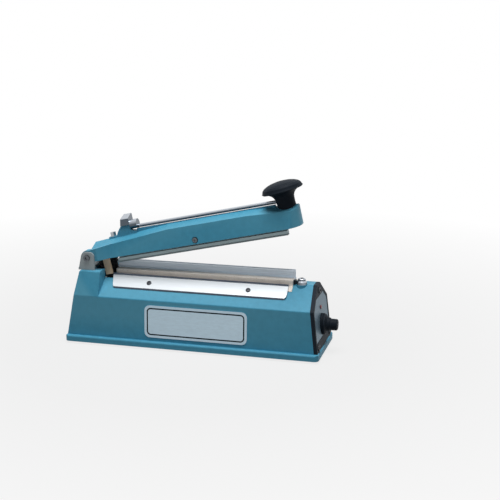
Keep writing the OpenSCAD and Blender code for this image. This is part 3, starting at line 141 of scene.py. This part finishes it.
class Surface:
    """A principled material that gets its detail from noise in the piece's own coordinates.

    Each method adds one trait and returns the surface, so that they can be chained.
    """

    def __init__(self, slot, metallic=0.0, stretch=(1, 1, 1)):
        self.slot = slot
        self.material = bpy.data.materials.new(slot)
        self.material.use_nodes = True
        self.tree = self.material.node_tree
        self.shader = self.tree.nodes["Principled BSDF"]
        self.shader.inputs["Metallic"].default_value = metallic
        coordinates = self.node("ShaderNodeTexCoord")
        self.place = self.node("ShaderNodeMapping")
        self.place.inputs["Scale"].default_value = stretch
        self.link(coordinates.outputs["Object"], self.place.inputs["Vector"])
        self.base = None
        self.relief = None

    def node(self, kind):
        return self.tree.nodes.new(kind)

    def link(self, source, target):
        self.tree.links.new(source, target)

    def set(self, socket, value):
        """One number for the whole surface, on the shader's own socket."""
        self.shader.inputs[socket].default_value = value
        return self

    def noise(self, scale, detail=4.0):
        texture = self.node("ShaderNodeTexNoise")
        texture.inputs["Scale"].default_value = scale
        texture.inputs["Detail"].default_value = detail
        texture.inputs["Roughness"].default_value = 0.55
        self.link(self.place.outputs["Vector"], texture.inputs["Vector"])
        return texture.outputs["Fac"]

    def ramp(self, factor, low, high):
        """Runs from one (position, colour) stop to another."""
        ramp = self.node("ShaderNodeValToRGB")
        for element, (position, colour) in zip(ramp.color_ramp.elements, (low, high)):
            element.position = position
            element.color = colour
        self.link(factor, ramp.inputs["Fac"])
        return ramp.outputs["Color"]

    def mix(self, factor, first, second):
        """Blends two colours, each a tuple or a node's output."""
        mix = self.node("ShaderNodeMix")
        mix.data_type = "RGBA"
        self.link(factor, mix.inputs["Factor"])
        for socket, value in ((mix.inputs[6], first), (mix.inputs[7], second)):
            if isinstance(value, tuple):
                socket.default_value = value
            else:
                self.link(value, socket)
        return mix.outputs[2]

    def paint(self, colour):
        self.base = colour
        self.link(colour, self.shader.inputs["Base Color"])
        return self

    def colour(self, colour, vary, scale, fleck=None):
        """Mottled base colour; fleck is (colour, scale, threshold) of fine specks over it."""
        result = self.ramp(self.noise(scale), (0.3, shade(colour, 1 - vary)),
                           (0.7, shade(colour, 1 + vary)))
        if fleck:
            fleck_colour, fleck_scale, threshold = fleck
            specks = self.ramp(self.noise(fleck_scale, 2), (threshold, BLACK),
                               (threshold + 0.12, WHITE))
            result = self.mix(specks, result, fleck_colour)
        return self.paint(result)

    def paler_edges(self, colour, strength=0.5):
        """Convex edges blended towards a paler colour."""
        geometry = self.node("ShaderNodeNewGeometry")
        grey = (strength, strength, strength, 1)
        mask = self.ramp(geometry.outputs["Pointiness"], (0.54, BLACK), (0.62, grey))
        return self.paint(self.mix(mask, self.base, colour))

    def paint_shade_away(self, colour, face, start=0.9, end=0.97):
        """Painted shade: faces near one direction keep their colour; those turned away from it are
        painted darker.
        """
        coordinates = self.node("ShaderNodeTexCoord")
        across = self.node("ShaderNodeVectorMath")
        across.operation = "DOT_PRODUCT"
        across.inputs[1].default_value = face
        self.link(coordinates.outputs["Normal"], across.inputs[0])
        mask = self.ramp(across.outputs["Value"], (start, BLACK), (end, WHITE))
        return self.paint(self.mix(mask, colour, self.base))

    def rough(self, low, high, scale=300):
        """Roughness that wanders between two values."""
        spread = self.node("ShaderNodeMapRange")
        spread.inputs["To Min"].default_value = low
        spread.inputs["To Max"].default_value = high
        self.link(self.noise(scale, 3), spread.inputs["Value"])
        self.link(spread.outputs["Result"], self.shader.inputs["Roughness"])
        return self

    def raise_by(self, height, strength):
        """Bump from a node's output, on top of any bump before it."""
        bump = self.node("ShaderNodeBump")
        bump.inputs["Strength"].default_value = strength
        bump.inputs["Distance"].default_value = 0.2 * MM
        self.link(height, bump.inputs["Height"])
        if self.relief:
            self.link(self.relief, bump.inputs["Normal"])
        self.relief = bump.outputs["Normal"]
        self.link(self.relief, self.shader.inputs["Normal"])
        return self

    def bump(self, scale, strength):
        return self.raise_by(self.noise(scale, 2), strength)

    def weave(self, pitch, strength):
        """Plain weave: crossed ribs along X and across it."""
        product = self.node("ShaderNodeMath")
        product.operation = "MULTIPLY"
        for socket, direction in zip(product.inputs, ("X", "Y")):
            wave = self.node("ShaderNodeTexWave")
            wave.bands_direction = direction
            wave.inputs["Scale"].default_value = WAVE_BAND / pitch
            self.link(self.place.outputs["Vector"], wave.inputs["Vector"])
            self.link(wave.outputs["Fac"], socket)
        return self.raise_by(product.outputs["Value"], strength)


def make_materials():
    """One material for each of the record's slots."""
    teal = srgb(72, 151, 181)
    along_bar = (0.05, 1, 1)
    surfaces = [
        # Paint, plastic and rubber
        Surface("teal_enamel")
        .colour(teal, vary=0.06, scale=160, fleck=(shade(teal, 1.25), 1500, 0.62))
        .paler_edges(srgb(120, 186, 206), strength=0.3)
        .rough(0.42, 0.56, 240).bump(620, 0.14).set("Specular IOR Level", 0.22),
        Surface("black_plastic").colour(srgb(22, 29, 37), vary=0.14, scale=200)
        .paler_edges(srgb(56, 64, 74), strength=0.3)
        .rough(0.48, 0.62, 500).bump(1600, 0.06).set("Specular IOR Level", 0.07),
        Surface("black_rubber").colour(srgb(24, 27, 30), vary=0.2, scale=300)
        .rough(0.62, 0.8).bump(1300, 0.12).set("Specular IOR Level", 0.2),
        Surface("white_plastic").colour(srgb(226, 224, 216), vary=0.04, scale=200)
        .rough(0.34, 0.5).bump(1500, 0.04),
        Surface("lamp_red").colour(srgb(128, 36, 44), vary=0.12, scale=500)
        .rough(0.2, 0.3).bump(2200, 0.02)
        .set("Transmission Weight", 0.15).set("Coat Weight", 0.2),
        Surface("silicone").colour(srgb(146, 162, 165), vary=0.08, scale=220)
        .rough(0.5, 0.68).bump(1200, 0.08).set("Subsurface Weight", 0.05),
        Surface("phenolic_board", stretch=(1, 1, 6))
        # Painted light: paler than the board's own tan, to make up for the arm's shadow falling on
        # it
        .colour(srgb(250, 212, 176), vary=0.1, scale=300)
        .rough(0.4, 0.55).bump(1300, 0.08),

        # Steel and brass
        Surface("plated_steel", metallic=1.0).colour(srgb(168, 172, 176), vary=0.08, scale=260)
        .rough(0.24, 0.42).bump(1400, 0.04),
        Surface("hinge_steel", metallic=0.2).colour(srgb(140, 154, 158), vary=0.1, scale=220)
        .paler_edges(srgb(176, 182, 184))
        .rough(0.38, 0.55).bump(1100, 0.06).set("Specular IOR Level", 0.3),
        Surface("dark_screw", metallic=0.8).colour(srgb(98, 103, 108), vary=0.12, scale=400)
        # Painted shade: front-facing faces keep the lighter colour, and faces turned away from the
        # front, such as screw rims, are painted darker
        .paint_shade_away(srgb(58, 60, 64), FRONT_FACE)
        .rough(0.3, 0.5).bump(1800, 0.05),
        Surface("chrome", metallic=1.0).colour(srgb(188, 194, 202), vary=0.05, scale=300)
        # Painted reflection and shade: faces turned up and to the right keep the bright colour,
        # others are painted darker, so the rod gets a bright top and a dark underside
        .paint_shade_away(srgb(84, 92, 100), CHROME_FACE, start=0.35, end=0.85)
        .rough(0.16, 0.28, 500).bump(900, 0.02),
        Surface("spring_steel", metallic=1.0).colour(srgb(150, 152, 156), vary=0.12, scale=500)
        .rough(0.25, 0.4).bump(1800, 0.05),
        Surface("blade_steel", metallic=1.0, stretch=(6, 1, 1))
        .colour(srgb(196, 198, 200), vary=0.06, scale=400)
        .rough(0.16, 0.3).bump(1500, 0.03),
        Surface("nichrome", metallic=1.0, stretch=along_bar)
        .colour(srgb(168, 164, 158), vary=0.1, scale=900)
        .rough(0.3, 0.5).bump(2000, 0.04),
        Surface("brass", metallic=1.0).colour(srgb(206, 172, 98), vary=0.1, scale=300)
        .rough(0.22, 0.4).bump(1500, 0.04),

        # Aluminium bars and foils
        Surface("aluminium_bar", metallic=0.25, stretch=along_bar)
        .colour(srgb(206, 219, 231), vary=0.1, scale=900)
        .rough(0.28, 0.46, 1200).bump(2400, 0.05),
        Surface("jaw_aluminium", metallic=0.6, stretch=along_bar)
        .colour(srgb(146, 162, 165), vary=0.1, scale=900)
        .rough(0.34, 0.52, 1200).bump(2400, 0.05),
        Surface("clamp_aluminium", metallic=0.3, stretch=(0.04, 1, 1))
        .colour(srgb(204, 209, 213), vary=0.03, scale=1000)
        # Painted shade: the plate's slope face keeps its colour, its lip and edges are painted
        # darker
        .paint_shade_away(srgb(84, 94, 108), SLOPE_FACE)
        .rough(0.36, 0.5, 1400).bump(2600, 0.03),
        Surface("label_foil", metallic=0.5, stretch=(3, 1, 1))
        .colour(srgb(104, 128, 143), vary=0.05, scale=180)
        .rough(0.36, 0.5).bump(1900, 0.03).set("Specular IOR Level", 0.2),
        Surface("nameplate_foil", metallic=0.5, stretch=(1, 1, 4))
        .colour(srgb(188, 210, 223), vary=0.05, scale=160)
        .rough(0.34, 0.48).bump(1900, 0.03),

        # Woven tape and cover
        Surface("glass_cloth_tape").colour(srgb(206, 192, 164), vary=0.08, scale=500)
        .rough(0.6, 0.8).weave(0.6 * MM, 0.3),
        Surface("ptfe_cloth")
        .colour(srgb(247, 237, 226), vary=0.06, scale=90, fleck=(srgb(220, 208, 194), 900, 0.6))
        .rough(0.4, 0.6).weave(0.7 * MM, 0.25).set("Sheen Weight", 0.5),

        # Electrical parts inside
        Surface("core_steel", metallic=0.7, stretch=(1, 14, 1))
        .colour(srgb(96, 98, 104), vary=0.25, scale=220)
        .rough(0.45, 0.65).bump(220, 0.3),
        Surface("copper_winding", metallic=0.8, stretch=(1, 1, 12))
        .colour(srgb(176, 98, 52), vary=0.2, scale=200)
        .rough(0.25, 0.4).bump(160, 0.4),
        Surface("circuit_board")
        .colour(srgb(34, 104, 58), vary=0.14, scale=240, fleck=(srgb(52, 130, 78), 700, 0.6))
        .rough(0.28, 0.42).bump(1500, 0.05),
        Surface("capacitor_sleeve").colour(srgb(36, 46, 92), vary=0.1, scale=300)
        .rough(0.2, 0.34).bump(1500, 0.03),
    ]
    return {surface.slot: surface.material for surface in surfaces}


def finish_node(node, material, bevel):
    """Gives a CAD node its material, and eases its sharp edges by a modifier."""
    piece = nodes[node]
    piece.data.materials.clear()
    piece.data.materials.append(material)
    for slot in piece.material_slots:
        slot.material = material
    if bevel:
        ease = piece.modifiers.new("eased_edges", "BEVEL")
        ease.width = bevel
        ease.segments = 2
        ease.limit_method = "ANGLE"
        ease.angle_limit = EASE_ANGLE


# Mesh helpers
def mesh_piece(name, points, faces, material, body, smooth=True):
    """A new piece that rides on a body."""
    mesh = bpy.data.meshes.new(name)
    mesh.from_pydata([tuple(p) for p in points], [], faces)
    mesh.update()
    if smooth:
        mesh.shade_smooth()
    piece = bpy.data.objects.new(name, mesh)
    scene.collection.objects.link(piece)
    mesh.materials.append(material)
    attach(piece, body)
    return piece


def arm_place(point):
    """A point of the closed arm's own frame, with the arm open."""
    return PIVOT + Matrix.Rotation(-OPEN_ANGLE, 4, "Y") @ Vector(point)


def arc(centre, radius, start, end, steps):
    """Points on an arc in a plane, angles in degrees."""
    angles = [math.radians(start + (end - start) * k / steps) for k in range(steps + 1)]
    return [(centre[0] + radius * math.cos(a), centre[1] + radius * math.sin(a)) for a in angles]


def rounded_rectangle(width, height, radius, steps=8):
    """Anticlockwise outline about the origin."""
    outline = []
    for cx, cy, start in ((1, -1, -90), (1, 1, 0), (-1, 1, 90), (-1, -1, 180)):
        centre = (cx * (width / 2 - radius), cy * (height / 2 - radius))
        outline += arc(centre, radius, start, start + 90, steps)
    return outline


# Cover cloth over the heating ribbon, held under the clamp plate
def add_cover_cloth(material):
    z_top = 82.22 * MM
    front = -10.62 * MM
    hem = -17.5 * MM
    corner = 0.7 * MM
    bend = 0.5 * MM
    rise = 0.2 * MM
    sag = 0.03 * MM
    ripple = 0.05 * MM

    # Path in (Y, Z): over the jaw bar, down its front and along the slope to the hem
    flat = [(y * MM, z_top) for y in (-2.3, -4.5, -6.6, -8.6)]
    path = flat + arc((front + corner, z_top - corner), corner, 90, 180, 5)
    foot = slope_z(front) + rise
    path += [(front, z_top - (z_top - foot) * share) for share in (0.35, 0.6, 0.82)]
    slope_steps = 7
    for k in range(slope_steps + 1):
        y = front - bend + (hem - front + bend) * k / slope_steps
        path.append((y, slope_z(y) + rise))

    rows = len(path)
    rippled = range(len(flat) + 1, 12)
    columns = 104
    points = []
    for i in range(columns + 1):
        x = SEAL_X0 + (SEAL_X1 - SEAL_X0) * i / columns
        wave = ripple * math.sin(i * 0.61 + 0.4 * math.sin(i * 0.17))
        dip = sag * math.sin(i * 0.43)
        for k, (y, z) in enumerate(path):
            points.append((x, y - (wave if k in rippled else 0), z + (dip if k < len(flat) else 0)))
    faces = []
    for i in range(columns):
        for k in range(rows - 1):
            a = i * rows + k
            faces.append((a, a + 1, a + rows + 1, a + rows))
    piece = mesh_piece("cover_cloth", points, faces, material, "base")
    thick = piece.modifiers.new("thickness", "SOLIDIFY")
    thick.thickness = 0.24 * MM
    thick.offset = 0
    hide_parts("ptfe_cover")


# Grey pressing strip under the arm's jaw bar, with eased edges, in the closed arm's frame
def add_pressing_strip(material):
    x0, x1 = 28.2 * MM, 230.9 * MM
    y0, y1 = -10.8 * MM, -3.9 * MM
    z0, z1 = -13.9 * MM, -11.9 * MM
    ease = 0.6 * MM
    profile = [(y0, z1), (y1, z1)]
    profile += arc((y1 - ease, z0 + ease), ease, 0, -90, 4)
    profile += arc((y0 + ease, z0 + ease), ease, -90, -180, 4)
    columns = 60
    points = []
    for i in range(columns + 1):
        x = x0 + (x1 - x0) * i / columns
        points += [arm_place((x, y, z)) for y, z in profile]
    count = len(profile)
    faces = []
    for i in range(columns):
        for k in range(count):
            a, b = i * count + k, i * count + (k + 1) % count
            faces.append((a, b, b + count, a + count))
    faces.append(tuple(reversed(range(count))))
    faces.append(tuple(columns * count + k for k in range(count)))
    piece = mesh_piece("pressing_strip", points, faces, material, "arm", smooth=False)
    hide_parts("silicone_pad")


# Return spring as a round wire, wound where the CAD spring stands
def add_return_spring(material):
    low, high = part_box("return_spring")
    wire = 0.8 * MM
    radius = (high.x - low.x) / 2 - wire
    centre = (low + high) / 2
    turns, rings, sides = 8, 28, 12
    bottom, top = low.z + wire, high.z - wire
    pitch = (top - bottom) / (turns * 2 * math.pi * radius)
    total = turns * rings
    points = []
    for i in range(total + 1):
        angle = 2 * math.pi * i / rings
        out = Vector((math.cos(angle), math.sin(angle), 0))
        along = Vector((-math.sin(angle), math.cos(angle), pitch)).normalized()
        up = along.cross(out)
        height = bottom + (top - bottom) * i / total
        middle = Vector((centre.x, centre.y, height)) + out * radius
        for k in range(sides):
            a = 2 * math.pi * k / sides
            points.append(middle + (out * math.cos(a) + up * math.sin(a)) * wire)
    faces = []
    for i in range(total):
        for k in range(sides):
            a, b = i * sides + k, i * sides + (k + 1) % sides
            faces.append((a, a + sides, b + sides, b))
    faces.append(tuple(range(sides)))
    faces.append(tuple(total * sides + k for k in reversed(range(sides))))
    piece = mesh_piece("wound_spring", points, faces, material, "base")
    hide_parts("return_spring")
    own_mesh(piece)


# Dark border line printed on the nameplate, just in front of its face
def add_nameplate_border(material):
    low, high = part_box("nameplate")
    middle = (low + high) / 2
    turn = Matrix.Rotation(math.pi / 2 - WALL_LEAN, 4, "X")
    lift = 0.34 * MM
    outer = rounded_rectangle(112.6 * MM, 31.2 * MM, 4.6 * MM)
    inner = rounded_rectangle(109.6 * MM, 28.2 * MM, 3.2 * MM)
    points = [middle + turn @ Vector((x, y, lift)) for x, y in outer + inner]
    count = len(outer)
    faces = [(k, (k + 1) % count, count + (k + 1) % count, count + k) for k in range(count)]
    piece = mesh_piece("nameplate_border", points, faces, material, "base", smooth=False)


# Floor, backdrop and light
def seen_rays(tree):
    """1 for a ray that shows the background: from the camera, or by way of metal or glass."""
    path = tree.nodes.new("ShaderNodeLightPath")
    result = path.outputs["Is Camera Ray"]
    for kind in ("Is Glossy Ray", "Is Transmission Ray"):
        larger = tree.nodes.new("ShaderNodeMath")
        larger.operation = "MAXIMUM"
        tree.links.new(result, larger.inputs[0])
        tree.links.new(path.outputs[kind], larger.inputs[1])
        result = larger.outputs["Value"]
    return result


def add_floor():
    """Plain pale floor that reads white to the camera and keeps the shadow."""
    mesh = bpy.data.meshes.new("floor")
    corners = [(x * FLOOR_HALF, y * FLOOR_HALF, 0) for x, y in ((-1, -1), (1, -1), (1, 1), (-1, 1))]
    mesh.from_pydata(corners, [], [(0, 1, 2, 3)])
    floor = bpy.data.objects.new("floor", mesh)
    scene.collection.objects.link(floor)
    material = bpy.data.materials.new("floor_paper")
    material.use_nodes = True
    tree = material.node_tree
    tree.nodes.clear()
    output = tree.nodes.new("ShaderNodeOutputMaterial")
    paper = tree.nodes.new("ShaderNodeBsdfDiffuse")
    paper.inputs["Color"].default_value = FLOOR_PAPER
    white = tree.nodes.new("ShaderNodeEmission")
    white.inputs["Color"].default_value = WHITE
    mix = tree.nodes.new("ShaderNodeMixShader")
    # The shadow shows near the object, and further out the floor runs into the white backdrop
    place = tree.nodes.new("ShaderNodeTexCoord")
    distance = tree.nodes.new("ShaderNodeVectorMath")
    distance.operation = "LENGTH"
    fade = tree.nodes.new("ShaderNodeMapRange")
    fade.inputs["From Min"].default_value = SHADOW_NEAR
    fade.inputs["From Max"].default_value = SHADOW_FAR
    fade.inputs["To Min"].default_value = WHITE_NEAR
    share = tree.nodes.new("ShaderNodeMath")
    share.operation = "MULTIPLY"
    tree.links.new(place.outputs["Object"], distance.inputs[0])
    tree.links.new(distance.outputs["Value"], fade.inputs["Value"])
    tree.links.new(seen_rays(tree), share.inputs[0])
    tree.links.new(fade.outputs["Result"], share.inputs[1])
    tree.links.new(share.outputs["Value"], mix.inputs["Fac"])
    tree.links.new(paper.outputs["BSDF"], mix.inputs[1])
    tree.links.new(white.outputs["Emission"], mix.inputs[2])
    tree.links.new(mix.outputs["Shader"], output.inputs["Surface"])
    mesh.materials.append(material)


def add_world():
    """White to the camera, and a faint sky to the object."""
    world = bpy.data.worlds.new("studio")
    scene.world = world
    world.use_nodes = True
    tree = world.node_tree
    tree.nodes.clear()
    output = tree.nodes.new("ShaderNodeOutputWorld")
    seen_sky = tree.nodes.new("ShaderNodeBackground")
    seen_sky.inputs["Color"].default_value = WHITE
    light_sky = tree.nodes.new("ShaderNodeBackground")
    light_sky.inputs["Color"].default_value = SKY_COLOUR
    light_sky.inputs["Strength"].default_value = SKY_STRENGTH
    mix = tree.nodes.new("ShaderNodeMixShader")
    tree.links.new(seen_rays(tree), mix.inputs["Fac"])
    tree.links.new(light_sky.outputs["Background"], mix.inputs[1])
    tree.links.new(seen_sky.outputs["Background"], mix.inputs[2])
    tree.links.new(mix.outputs["Shader"], output.inputs["Surface"])


def add_key_light():
    """One soft round lamp above the front edge."""
    data = bpy.data.lights.new("key", "AREA")
    data.shape = "DISK"
    data.size = KEY_SIZE
    data.energy = KEY_POWER
    light = bpy.data.objects.new("key", data)
    scene.collection.objects.link(light)
    light.location = KEY_PLACE
    away = Vector(KEY_PLACE) - Vector(KEY_TARGET)
    light.rotation_euler = away.to_track_quat("Z", "Y").to_euler()


add_camera()
materials = make_materials()
for entry in frame["record"]["subparts"]:
    node_name = entry["node"]
    finish_node(node_name, materials[entry["material_slot"]], EASED.get(node_name, 0) * MM)
add_cover_cloth(materials["ptfe_cloth"])
add_pressing_strip(materials["silicone"])
add_return_spring(materials["spring_steel"])
add_nameplate_border(materials["black_plastic"])
add_floor()
add_world()
add_key_light()

scene.view_settings.view_transform = "Standard"
